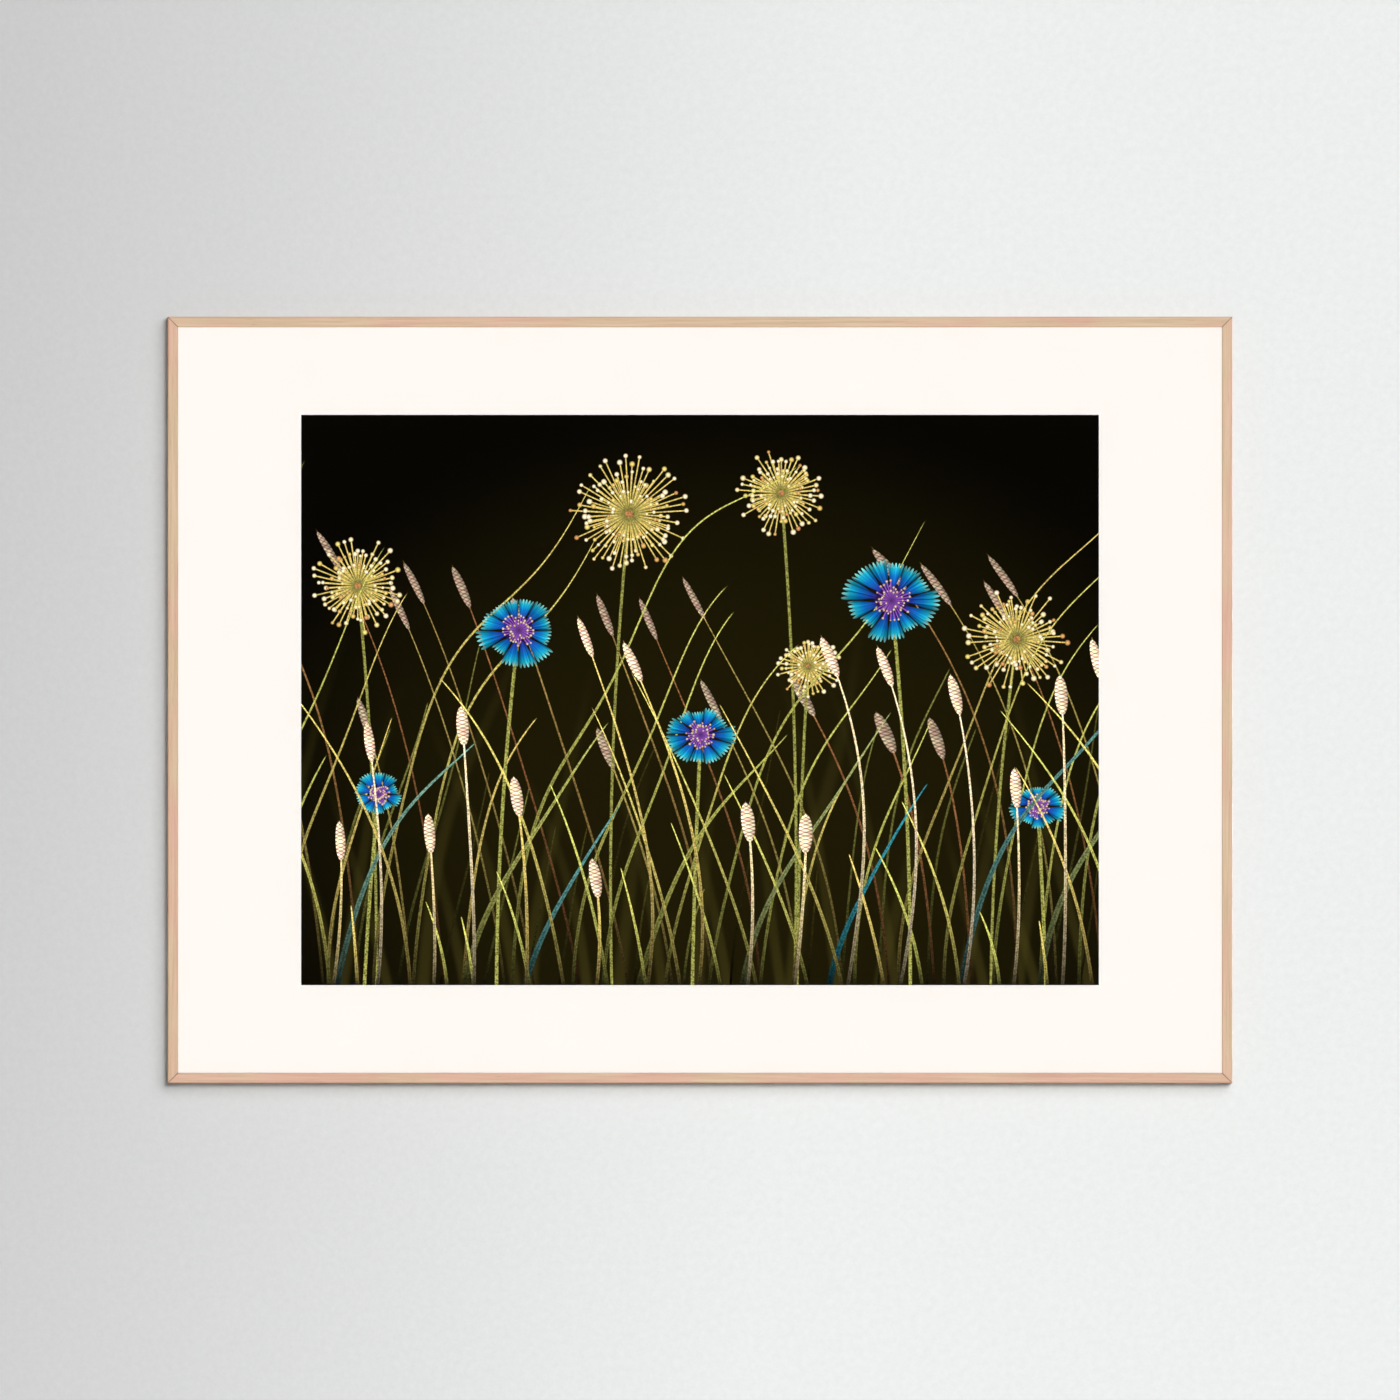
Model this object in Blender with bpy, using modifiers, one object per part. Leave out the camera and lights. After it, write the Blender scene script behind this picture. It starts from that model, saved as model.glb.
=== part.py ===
"""A slim framed print in landscape format, with a wide mat, that hangs on a wall.

Metres, +Z up. The picture faces -Y and the wall is the plane y = 0. The origin is on the wall at hanging
height, midway between the two hangers. All pieces are parented to an empty at the middle of the picture.
"""

import math

import bmesh
import bpy
from mathutils import Matrix, Vector

# The opening that the rails leave, and the rails around it
SIGHT_WIDTH = 0.700
SIGHT_HEIGHT = 0.500
RAIL_FACE = 0.007  # a rail's width, seen from the front
RAIL_DEPTH = 0.020
LIP_THICKNESS = 0.0035  # the front lip, which covers the edge of the pane
WALL_THICKNESS = 0.003  # the rail behind its lip
OUTER_ARRIS = 0.0010  # radius of the front edge beside the wall
INNER_ARRIS = 0.0004  # radius of the other long edges
ARRIS_STEPS = 4
MITRE_GAP = 0.0003

# What lies in the rebate, from the front
REBATE_PLAY = 0.0005  # between the rails and the edges of what they hold
CONTACT_GAP = 0.0003  # between pieces that touch
PANE_THICKNESS = 0.002
MAT_THICKNESS = 0.0010
PRINT_THICKNESS = 0.0003
BOARD_THICKNESS = 0.003
WINDOW_WIDTH = 0.535  # the mat's window, where it meets the print
WINDOW_HEIGHT = 0.3825
PRINT_MARGIN = 0.010  # how far the print reaches behind the mat on each side

# Flat steel points, pressed into the rails behind the backing board
POINT_WIDTH = 0.006
POINT_THICKNESS = 0.0005
POINT_REACH = 0.012  # over the board
POINT_ROOT = 0.0012  # in the rail
POINT_TAPER = 0.0012
POINT_ARC_STEPS = 8
POINTS_ON_LONG_RAIL = 4
POINTS_ON_SHORT_RAIL = 3

# Saw-tooth hangers, riveted to the backing board
HANG_BELOW_TOP = 0.045  # from the frame's top edge down to the hanging height
HANGER_OFFSET = 0.160  # from the picture's middle line
HANGER_WIDTH = 0.056
HANGER_HEIGHT = 0.0085
HANGER_THICKNESS = 0.0008
HANGER_RAISE = 0.0022  # room for a nail's head between the plate and the board
RAISED_HALF = 0.0150
FOOT_START = 0.0180
TOOTH_COUNT = 9
TOOTH_PITCH = 0.0028
TOOTH_DEPTH = 0.0015
RIVET_OFFSET = 0.0230  # from the hanger's middle
RIVET_LIFT = 0.0042  # above the hanging height
RIVET_HEAD_RADIUS = 0.0024
RIVET_HEAD_HEIGHT = 0.0011
RIVET_SHANK_RADIUS = 0.0012
RIVET_HOLE_RADIUS = 0.0015
RIVET_HOLE_DEPTH = 0.0022
ROUND_STEPS = 24
DOME_STEPS = 5

# Worked out from the above
FRAME_WIDTH = SIGHT_WIDTH + 2 * RAIL_FACE
FRAME_HEIGHT = SIGHT_HEIGHT + 2 * RAIL_FACE
LAYER_WIDTH = FRAME_WIDTH - 2 * (WALL_THICKNESS + REBATE_PLAY)
LAYER_HEIGHT = FRAME_HEIGHT - 2 * (WALL_THICKNESS + REBATE_PLAY)
PANE_FRONT = -RAIL_DEPTH + LIP_THICKNESS + CONTACT_GAP
MAT_FRONT = PANE_FRONT + PANE_THICKNESS + CONTACT_GAP
PRINT_FRONT = MAT_FRONT + MAT_THICKNESS + CONTACT_GAP
BOARD_FRONT = PRINT_FRONT + PRINT_THICKNESS + CONTACT_GAP
BOARD_BACK = BOARD_FRONT + BOARD_THICKNESS
POINT_FRONT = BOARD_BACK + CONTACT_GAP
HANG_HEIGHT = FRAME_HEIGHT / 2 - HANG_BELOW_TOP  # above the middle of the picture
RIVET_SEAT = BOARD_BACK + CONTACT_GAP + HANGER_THICKNESS + CONTACT_GAP  # where the rivets' heads start

# For the modelling itself
OVERCUT = 0.001  # how far a cutter runs past what it cuts
MERGE_DISTANCE = 0.00001


def clear_scene():
    for obj in list(bpy.data.objects):
        bpy.data.objects.remove(obj, do_unlink=True)


def new_collection(name):
    collection = bpy.data.collections.new(name)
    bpy.context.scene.collection.children.link(collection)
    return collection


def new_material(name, colour, roughness, metallic=0.0, alpha=1.0):
    material = bpy.data.materials.new(name)
    material.use_nodes = True
    shader = material.node_tree.nodes["Principled BSDF"]
    shader.inputs["Base Color"].default_value = (*colour, 1.0)
    shader.inputs["Roughness"].default_value = roughness
    shader.inputs["Metallic"].default_value = metallic
    shader.inputs["Alpha"].default_value = alpha
    return material


def to_mesh(bm, name):
    """Turns the bmesh into a mesh whose faces point outwards."""
    bmesh.ops.recalc_face_normals(bm, faces=bm.faces)
    mesh = bpy.data.meshes.new(name)
    bm.to_mesh(mesh)
    bm.free()
    return mesh


def add_piece(name, mesh, material, location=(0, 0, 0), turn=0.0):
    """Places a piece in the picture, turned about the axis that points at the wall."""
    obj = bpy.data.objects.new(name, mesh)
    parts.objects.link(obj)
    obj.parent = picture
    obj.location = location
    obj.rotation_euler = (0, turn, 0)
    if not mesh.materials:
        mesh.materials.append(material)
    return obj


def cut(obj, mesh, name, location=(0, 0, 0), turn=0.0):
    """Takes the cutter's mesh out of a piece. The cutter is placed as a piece is."""
    cutter = bpy.data.objects.new(name, mesh)
    cutters.objects.link(cutter)
    cutter.parent = picture
    cutter.location = location
    cutter.rotation_euler = (0, turn, 0)
    cutter.hide_render = True
    cutter.display_type = "WIRE"
    difference = obj.modifiers.new(name, "BOOLEAN")
    difference.operation = "DIFFERENCE"
    difference.solver = "EXACT"
    difference.object = cutter


def add_block(bm, size, centre):
    matrix = Matrix.Translation(centre) @ Matrix.Diagonal((*size, 1.0))
    bmesh.ops.create_cube(bm, size=1.0, matrix=matrix)


def extrude_outline(outline, offset):
    """A solid made from a closed outline of points, drawn out by the offset."""
    bm = bmesh.new()
    face = bm.faces.new([bm.verts.new(point) for point in outline])
    drawn = bmesh.ops.extrude_face_region(bm, geom=[face])
    new_points = [item for item in drawn["geom"] if isinstance(item, bmesh.types.BMVert)]
    bmesh.ops.translate(bm, verts=new_points, vec=offset)
    return bm


def arc(centre, radius, start, end, steps):
    """Points of an arc in a plane, from the start angle to the end angle."""
    angles = [start + (end - start) * step / steps for step in range(steps + 1)]
    return [(centre[0] + radius * math.cos(a), centre[1] + radius * math.sin(a)) for a in angles]


def rail_section():
    """The rail's outline: first the distance inwards from its outer side, then the depth, 0 at the wall."""
    quarter = math.pi / 2
    front = -RAIL_DEPTH
    lip_back = front + LIP_THICKNESS
    small = INNER_ARRIS
    large = OUTER_ARRIS
    outline = arc((small, -small), small, 2 * quarter, quarter, ARRIS_STEPS)
    outline += [(WALL_THICKNESS, 0.0), (WALL_THICKNESS, lip_back), (RAIL_FACE, lip_back)]
    outline += arc((RAIL_FACE - small, front + small), small, 0.0, -quarter, ARRIS_STEPS)
    outline += arc((large, front + large), large, -quarter, -2 * quarter, ARRIS_STEPS)
    return outline


def rail_mesh(length):
    """A rail along X with its outer side at z = 0 and its inner side above, cut to a mitre at both ends."""
    outline = [Vector((-length / 2, depth, inwards)) for inwards, depth in rail_section()]
    bm = extrude_outline(outline, (length, 0, 0))
    for side in (-1, 1):
        across = Vector((side, 0, 1)).normalized()
        corner = Vector((side * length / 2, 0, 0)) - across * MITRE_GAP / 2
        geom = bm.verts[:] + bm.edges[:] + bm.faces[:]
        sawn = bmesh.ops.bisect_plane(bm, geom=geom, plane_co=corner, plane_no=across, clear_outer=True)
        edges = [item for item in sawn["geom_cut"] if isinstance(item, bmesh.types.BMEdge)]
        bmesh.ops.contextual_create(bm, geom=edges)
    return to_mesh(bm, "rail")


def places_along(length, count):
    """Where a rail's points sit, evenly spread over its length."""
    return [length * ((i + 0.5) / count - 0.5) for i in range(count)]


def slot_mesh(length, count):
    """The cutter for the slots in a rail's inner side, in the rail's own place."""
    bm = bmesh.new()
    size = (
        POINT_WIDTH + 2 * CONTACT_GAP,
        POINT_THICKNESS + 2 * CONTACT_GAP,
        POINT_ROOT + CONTACT_GAP + OVERCUT,
    )
    for place in places_along(length, count):
        depth = POINT_FRONT + POINT_THICKNESS / 2
        add_block(bm, size, (place, depth, WALL_THICKNESS + OVERCUT - size[2] / 2))
    return to_mesh(bm, "slots")


def point_mesh():
    """A steel point with a tapered root and a round free end. The rail's outer side is at z = 0."""
    half = POINT_WIDTH / 2
    root = WALL_THICKNESS - POINT_ROOT
    tip = WALL_THICKNESS + REBATE_PLAY + POINT_REACH
    outline = [(half, tip - half)]
    outline += arc((0, tip - half), half, 0, math.pi, POINT_ARC_STEPS)[1:]
    outline += [(-half, root + POINT_TAPER), (-half + POINT_TAPER, root)]
    outline += [(half - POINT_TAPER, root), (half, root + POINT_TAPER)]
    flat = [Vector((x, POINT_FRONT, z)) for x, z in outline]
    return to_mesh(extrude_outline(flat, (0, POINT_THICKNESS, 0)), "point")


def make_rail(side, length, count, distance, turn):
    """A rail with its points. The distance runs from the picture's middle to the rail's outer side."""
    turned = Matrix.Rotation(turn, 3, "Y")
    location = turned @ Vector((0, 0, -distance))
    rail = add_piece(f"rail_{side}", rail_mesh(length), wood, location, turn)
    cut(rail, slot_mesh(length, count), f"slots_{side}", location, turn)
    mesh = point_mesh()
    for number, place in enumerate(places_along(length, count), 1):
        foot = location + turned @ Vector((place, 0, 0))
        add_piece(f"point_{side}_{number}", mesh, steel, foot, turn)


def make_sheet(name, width, height, front, thickness, material):
    """A plain flat layer of the picture."""
    bm = bmesh.new()
    add_block(bm, (width, thickness, height), (0, front + thickness / 2, 0))
    return add_piece(name, to_mesh(bm, name), material)


def window_mesh():
    """The cutter for the mat's window: it widens to the front, because the edge is cut at 45 degrees."""
    front = MAT_FRONT - OVERCUT
    mat_back = MAT_FRONT + MAT_THICKNESS
    back = mat_back + OVERCUT
    widening = mat_back - front
    bm = bmesh.new()
    add_block(bm, (WINDOW_WIDTH, back - front, WINDOW_HEIGHT), (0, (front + back) / 2, 0))
    geom = bm.verts[:] + bm.edges[:] + bm.faces[:]
    bmesh.ops.bisect_plane(bm, geom=geom, plane_co=(0, mat_back, 0), plane_no=(0, 1, 0))
    for vertex in bm.verts:
        if vertex.co.y < MAT_FRONT:
            vertex.co.x += math.copysign(widening, vertex.co.x)
            vertex.co.z += math.copysign(widening, vertex.co.z)
    return to_mesh(bm, "window")


def hanger_mesh():
    """A saw-tooth plate, at y = 0 on the board. Its feet are flat, and its raised middle has teeth below."""
    half = HANGER_WIDTH / 2
    first = -TOOTH_COUNT * TOOTH_PITCH / 2
    teeth = [(first, 0.0)]
    for number in range(TOOTH_COUNT):
        left = first + number * TOOTH_PITCH
        teeth += [(left + TOOTH_PITCH / 2, -TOOTH_DEPTH), (left + TOOTH_PITCH, 0.0)]
    outline = [(-half, 0.0), *teeth, (half, 0.0), (half, HANGER_HEIGHT), (-half, HANGER_HEIGHT)]
    bm = extrude_outline([Vector((x, 0, z)) for x, z in outline], (0, HANGER_THICKNESS, 0))
    for bend in (-FOOT_START, -RAISED_HALF, RAISED_HALF, FOOT_START):
        geom = bm.verts[:] + bm.edges[:] + bm.faces[:]
        bmesh.ops.bisect_plane(bm, geom=geom, plane_co=(bend, 0, 0), plane_no=(1, 0, 0))
    for vertex in bm.verts:
        climb = (FOOT_START - abs(vertex.co.x)) / (FOOT_START - RAISED_HALF)
        vertex.co.y += HANGER_RAISE * min(max(climb, 0.0), 1.0)
    return to_mesh(bm, "hanger")


def add_drill(bm, x, z, radius, start, end):
    """A round cutter along Y."""
    place = Matrix.Translation((x, (start + end) / 2, z)) @ Matrix.Rotation(math.pi / 2, 4, "X")
    bmesh.ops.create_cone(
        bm,
        cap_ends=True,
        segments=ROUND_STEPS,
        radius1=radius,
        radius2=radius,
        depth=end - start,
        matrix=place,
    )


def rivet_mesh():
    """Half of a rivet's section, for a Screw modifier: a domed head above z = 0 and a shank below it."""
    shank = BOARD_BACK - RIVET_HOLE_DEPTH + CONTACT_GAP - RIVET_SEAT
    dome = arc((0, 0), 1.0, math.pi / 2, 0.0, DOME_STEPS)
    section = [(RIVET_HEAD_RADIUS * x, RIVET_HEAD_HEIGHT * z) for x, z in dome]
    section += [(RIVET_SHANK_RADIUS, 0.0), (RIVET_SHANK_RADIUS, shank), (0.0, shank)]
    bm = bmesh.new()
    points = [bm.verts.new((x, 0, z)) for x, z in section]
    for start, end in zip(points, points[1:]):
        bm.edges.new((start, end))
    mesh = bpy.data.meshes.new("rivet")
    bm.to_mesh(mesh)
    bm.free()
    return mesh


def make_hanger(side, x):
    """A hanger with its two rivets, and the holes for them."""
    plate_front = BOARD_BACK + CONTACT_GAP
    plate = add_piece(f"hanger_{side}", hanger_mesh(), steel, (x, plate_front, HANG_HEIGHT))
    drills = bmesh.new()
    bottom = BOARD_BACK - RIVET_HOLE_DEPTH
    top = RIVET_SEAT + OVERCUT
    lift = HANG_HEIGHT + RIVET_LIFT
    for end, offset in (("left", -RIVET_OFFSET), ("right", RIVET_OFFSET)):
        add_drill(drills, x + offset, lift, RIVET_HOLE_RADIUS, bottom, top)
        rivet = add_piece(f"rivet_{side}_{end}", rivet_mesh(), steel, (x + offset, RIVET_SEAT, lift))
        rivet.rotation_euler = (-math.pi / 2, 0, 0)
        screw = rivet.modifiers.new("turn", "SCREW")
        screw.steps = ROUND_STEPS
        screw.render_steps = ROUND_STEPS
        screw.use_merge_vertices = True
        screw.merge_threshold = MERGE_DISTANCE
        screw.use_smooth_shade = True
    holes = to_mesh(drills, "holes")
    cut(plate, holes, f"plate_holes_{side}")
    cut(board, holes, f"board_holes_{side}")


clear_scene()
parts = new_collection("framed_print")
cutters = new_collection("cutters")

picture = bpy.data.objects.new("picture_middle", None)
parts.objects.link(picture)
picture.location = (0, 0, -HANG_HEIGHT)

wood = new_material("pale_wood", (0.72, 0.50, 0.36), 0.55)
glass = new_material("clear_pane", (0.95, 0.97, 0.96), 0.05, alpha=0.25)
mat_paper = new_material("warm_white_mat", (0.96, 0.92, 0.86), 0.9)
print_paper = new_material("dark_print", (0.015, 0.012, 0.006), 0.5)
hardboard = new_material("brown_hardboard", (0.36, 0.24, 0.14), 0.85)
steel = new_material("zinc_plated_steel", (0.62, 0.62, 0.60), 0.35, metallic=1.0)

half_turn = math.pi
quarter_turn = math.pi / 2
make_rail("bottom", FRAME_WIDTH, POINTS_ON_LONG_RAIL, FRAME_HEIGHT / 2, 0.0)
make_rail("top", FRAME_WIDTH, POINTS_ON_LONG_RAIL, FRAME_HEIGHT / 2, half_turn)
make_rail("left", FRAME_HEIGHT, POINTS_ON_SHORT_RAIL, FRAME_WIDTH / 2, quarter_turn)
make_rail("right", FRAME_HEIGHT, POINTS_ON_SHORT_RAIL, FRAME_WIDTH / 2, -quarter_turn)

make_sheet("glazing", LAYER_WIDTH, LAYER_HEIGHT, PANE_FRONT, PANE_THICKNESS, glass)
mat = make_sheet("mat_board", LAYER_WIDTH, LAYER_HEIGHT, MAT_FRONT, MAT_THICKNESS, mat_paper)
cut(mat, window_mesh(), "window")
print_width = WINDOW_WIDTH + 2 * PRINT_MARGIN
print_height = WINDOW_HEIGHT + 2 * PRINT_MARGIN
make_sheet("print_sheet", print_width, print_height, PRINT_FRONT, PRINT_THICKNESS, print_paper)
board = make_sheet("backing_board", LAYER_WIDTH, LAYER_HEIGHT, BOARD_FRONT, BOARD_THICKNESS, hardboard)
make_hanger("left", -HANGER_OFFSET)
make_hanger("right", HANGER_OFFSET)
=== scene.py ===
# %% [markdown]
# # A framed print
# This lesson dresses a framed print: four slim rails of pale wood, a clear pane, a wide mat with a window,
# a dark printed sheet, and the board, steel points and saw-tooth hangers that close the back.
# The solids are loaded and stay where they are. Added are the finish of each surface, and new meshes for the
# mat and the print, whose cut edges and printed face need more than the solids give.

# %% Load the solid model
import math

import bmesh
import bpy
from mathutils import Matrix, Vector


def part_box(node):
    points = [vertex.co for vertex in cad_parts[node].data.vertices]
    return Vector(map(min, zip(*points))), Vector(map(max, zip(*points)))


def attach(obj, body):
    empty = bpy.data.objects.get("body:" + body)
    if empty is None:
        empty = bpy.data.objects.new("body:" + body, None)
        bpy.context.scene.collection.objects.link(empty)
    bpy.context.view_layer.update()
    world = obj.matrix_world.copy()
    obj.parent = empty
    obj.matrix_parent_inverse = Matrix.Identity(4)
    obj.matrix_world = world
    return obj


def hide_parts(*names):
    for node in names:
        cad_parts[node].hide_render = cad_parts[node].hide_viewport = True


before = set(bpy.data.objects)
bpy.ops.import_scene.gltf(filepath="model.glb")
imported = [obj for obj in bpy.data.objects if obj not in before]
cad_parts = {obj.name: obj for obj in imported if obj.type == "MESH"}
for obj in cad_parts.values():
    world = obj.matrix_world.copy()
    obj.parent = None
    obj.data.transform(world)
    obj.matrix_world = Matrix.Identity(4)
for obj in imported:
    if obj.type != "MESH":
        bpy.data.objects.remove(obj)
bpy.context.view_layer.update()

# %% [markdown]
# ## Sizes
# A framer measures first and finishes afterwards. Sizes typed in here would be wrong after a change to the
# solids, so they are read from them: the outer edges and the front from the rails, the window from the mat.

# %% Read the sizes
RAILS = ("rail_top", "rail_bottom", "rail_left", "rail_right")


def corner_points(names):
    """The lowest and the highest corner of several solids together."""
    boxes = [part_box(name) for name in names]
    low = Vector([min(box[0][axis] for box in boxes) for axis in range(3)])
    high = Vector([max(box[1][axis] for box in boxes) for axis in range(3)])
    return low, high


def window_half_size():
    """Half the width and height of the mat's window, where it meets the print."""
    points = [vertex.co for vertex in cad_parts["mat_board"].data.vertices]
    half_width = min(abs(point.x) for point in points)
    half_height = min(abs(point.z - MIDDLE.z) for point in points)
    return half_width, half_height


# Millimetres in a metre
MM = 1000.0
frame_low, frame_high = corner_points(RAILS)
MIDDLE = (frame_low + frame_high) / 2
WINDOW_HALF_WIDTH, WINDOW_HALF_HEIGHT = window_half_size()
print("window:", round(2 * WINDOW_HALF_WIDTH * MM, 1), "x", round(2 * WINDOW_HALF_HEIGHT * MM, 1), "mm")

# %% [markdown]
# ## Camera
# The picture is seen dead straight on and with no visible perspective: neither the rails' outer nor their
# inner sides show. An orthographic camera would show it so too, but stands nowhere. A very long lens far
# off gives the same view and stays a real camera. The view is 0.939 m wide at the front of the rails, and
# the distance follows from that, the lens and the sensor.

# %% Set up the camera
VIEW_WIDTH = 0.9387
LENS_MM = 900.0
SENSOR_MM = 36.0
NEAREST = 0.05


def add_object(name, data):
    """Puts a camera, a lamp or a mesh in the scene."""
    made = bpy.data.objects.new(name, data)
    bpy.context.scene.collection.objects.link(made)
    return made


def add_camera():
    data = bpy.data.cameras.new("camera")
    data.lens = LENS_MM
    data.sensor_width = SENSOR_MM
    data.clip_start = NEAREST
    camera = add_object("camera", data)
    distance = VIEW_WIDTH * LENS_MM / SENSOR_MM
    camera.location = (MIDDLE.x, frame_low.y - distance, MIDDLE.z)
    camera.rotation_euler = (math.radians(90), 0, 0)
    bpy.context.scene.camera = camera
    return distance


print("camera distance:", round(add_camera(), 3), "m")

# %% [markdown]
# ## Shader sums
# Grain, fibres and a printed design are numbers that change over a surface. In Blender each sum is a Math
# node, and long chains of nodes are hard to read. A Signal wraps a node's output, so that a sum is written
# as one: `across = root - middle` adds a Math node and joins its sockets.

# %% Signals
class Signal:
    """A number or vector that changes over the surface: one output of a node."""

    def __init__(self, socket):
        self.socket = socket
        self.tree = socket.id_data

    def math(self, operation, *others):
        node = self.tree.nodes.new("ShaderNodeMath")
        node.operation = operation
        for value, pin in zip((self, *others), node.inputs):
            connect(value, pin)
        return Signal(node.outputs[0])

    def __add__(self, other):
        return self.math("ADD", other)

    def __sub__(self, other):
        return self.math("SUBTRACT", other)

    def __mul__(self, other):
        return self.math("MULTIPLY", other)

    def __truediv__(self, other):
        return self.math("DIVIDE", other)

    def __neg__(self):
        return self.math("MULTIPLY", -1.0)

    def __abs__(self):
        return self.math("ABSOLUTE")

    def step(self, start, end):
        """Climbs smoothly from 0 at the start to 1 at the end, which may also be the smaller one."""
        node = self.tree.nodes.new("ShaderNodeMapRange")
        node.interpolation_type = "SMOOTHSTEP"
        node.clamp = False
        connect(self, node.inputs["Value"])
        connect(start, node.inputs["From Min"])
        connect(end, node.inputs["From Max"])
        return Signal(node.outputs["Result"])

    def parts(self):
        """The three numbers of a vector."""
        node = self.tree.nodes.new("ShaderNodeSeparateXYZ")
        connect(self, node.inputs[0])
        return [Signal(socket) for socket in node.outputs]


def connect(value, pin):
    """Joins a signal to a socket, or sets the socket to a plain number or colour."""
    if isinstance(value, Signal):
        pin.id_data.links.new(value.socket, pin)
    elif isinstance(value, tuple) and len(value) == 3 and pin.type == "RGBA":
        pin.default_value = (*value, 1.0)
    else:
        pin.default_value = value


print("sums are written with signals")

# %% [markdown]
# Nothing on a real surface repeats. Noise changes smoothly, and dice give each stem or petal numbers of its
# own. Both depend only on the place, so that every run draws the same surface.

# %% Noise and dice
DICE_STRIDE = 517.0


def noise(place, scale, detail=2.0, roughness=0.5, stretch=(1.0, 1.0, 1.0)):
    """Smooth noise between 0 and 1. The stretch multiplies the scale along each axis."""
    tree = place.tree
    mapping = tree.nodes.new("ShaderNodeMapping")
    mapping.inputs["Scale"].default_value = stretch
    connect(place, mapping.inputs["Vector"])
    node = tree.nodes.new("ShaderNodeTexNoise")
    connect(Signal(mapping.outputs[0]), node.inputs["Vector"])
    node.inputs["Scale"].default_value = scale
    node.inputs["Detail"].default_value = detail
    node.inputs["Roughness"].default_value = roughness
    return Signal(node.outputs["Fac"])


def line_noise(along):
    """Smooth noise between 0 and 1 that depends on one number only."""
    node = along.tree.nodes.new("ShaderNodeTexNoise")
    node.noise_dimensions = "1D"
    connect(along, node.inputs["W"])
    node.inputs["Scale"].default_value = 1.0
    node.inputs["Detail"].default_value = 2.0
    return Signal(node.outputs["Fac"])


def dice(first, second):
    """Three random numbers between 0 and 1 for a pair of whole numbers, always the same."""
    both = second * DICE_STRIDE + first
    node = first.tree.nodes.new("ShaderNodeTexWhiteNoise")
    node.noise_dimensions = "1D"
    connect(both, node.inputs["W"])
    split = first.tree.nodes.new("ShaderNodeSeparateColor")
    connect(Signal(node.outputs["Color"]), split.inputs["Color"])
    return [Signal(socket) for socket in split.outputs]


print("noise and dice ready")

# %% [markdown]
# A finish is built up as a painter does it, one colour over another, each where a mask lets it through.

# %% Colours
def blend(under, over, mask):
    """Lays one colour over another where the mask is 1."""
    node = mask.tree.nodes.new("ShaderNodeMix")
    node.data_type = "RGBA"
    factor, first, second = node.inputs[0], node.inputs[6], node.inputs[7]
    connect(mask, factor)
    connect(under, first)
    connect(over, second)
    return Signal(node.outputs[2])


def shade(colour, amount):
    """A colour made darker or lighter by an amount, which may be over 1: black mixed with it."""
    mixed = blend((0.0, 0.0, 0.0), colour, amount)
    mixed.socket.node.clamp_factor = False
    return mixed


def ramp(factor, *stops):
    """A colour that runs through the stops, each a place between 0 and 1 and a colour."""
    node = factor.tree.nodes.new("ShaderNodeValToRGB")
    elements = node.color_ramp.elements
    while len(elements) < len(stops):
        elements.new(1.0)
    for element, (position, colour) in zip(elements, stops):
        element.position = position
        element.color = (*colour, 1.0)
    connect(factor, node.inputs[0])
    return Signal(node.outputs[0])


print("colours are laid over each other")

# %% [markdown]
# ## Node groups and materials
# What several materials share is built once, as a node group with named sockets. Copies of its nodes would
# look the same, but a group is changed in one place.

# %% Node groups
SOCKETS = {"number": "NodeSocketFloat", "vector": "NodeSocketVector", "colour": "NodeSocketColor"}


def make_group(name, inputs, outputs, build):
    """A node group. The build function gets its inputs as signals and returns its outputs by name."""
    group = bpy.data.node_groups.new(name, "ShaderNodeTree")
    for label, kind in inputs.items():
        group.interface.new_socket(name=label, in_out="INPUT", socket_type=SOCKETS[kind])
    for label, kind in outputs.items():
        group.interface.new_socket(name=label, in_out="OUTPUT", socket_type=SOCKETS[kind])
    entry = group.nodes.new("NodeGroupInput")
    given = {label: Signal(entry.outputs[label]) for label in inputs}
    made = build(given)
    end = group.nodes.new("NodeGroupOutput")
    for label in outputs:
        connect(made[label], end.inputs[label])
    print("node group:", name, "with", len(group.nodes), "nodes")
    return group


def use_group(tree, group, values):
    """Puts the group in a tree with these values, and returns its outputs as signals."""
    node = tree.nodes.new("ShaderNodeGroup")
    node.node_tree = group
    for label, value in values.items():
        connect(value, node.inputs[label])
    return {socket.name: Signal(socket) for socket in node.outputs}


print("node groups have", ", ".join(SOCKETS), "sockets")

# %% [markdown]
# Each finish starts from the same shader, and each new mesh ends as a piece whose faces point out.

# %% Materials and pieces
def new_material(name, roughness, metallic=0.0):
    """Returns a new material, its node tree and its shader."""
    material = bpy.data.materials.new(name)
    material.use_nodes = True
    tree = material.node_tree
    shader = tree.nodes["Principled BSDF"]
    shader.inputs["Roughness"].default_value = roughness
    shader.inputs["Metallic"].default_value = metallic
    return material, tree, shader


def object_place(tree, offset=(0, 0, 0), turn=(0, 0, 0)):
    """The place on the piece in metres, moved and turned as the pattern needs."""
    source = tree.nodes.new("ShaderNodeTexCoord")
    mapping = tree.nodes.new("ShaderNodeMapping")
    mapping.inputs["Location"].default_value = offset
    mapping.inputs["Rotation"].default_value = turn
    tree.links.new(source.outputs["Object"], mapping.inputs["Vector"])
    return Signal(mapping.outputs[0])


def add_bump(tree, shader, height, strength, distance):
    """Relief too fine for geometry: the distance is its depth in metres."""
    node = tree.nodes.new("ShaderNodeBump")
    node.inputs["Strength"].default_value = strength
    node.inputs["Distance"].default_value = distance
    connect(height, node.inputs["Height"])
    tree.links.new(node.outputs[0], shader.inputs["Normal"])


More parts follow.
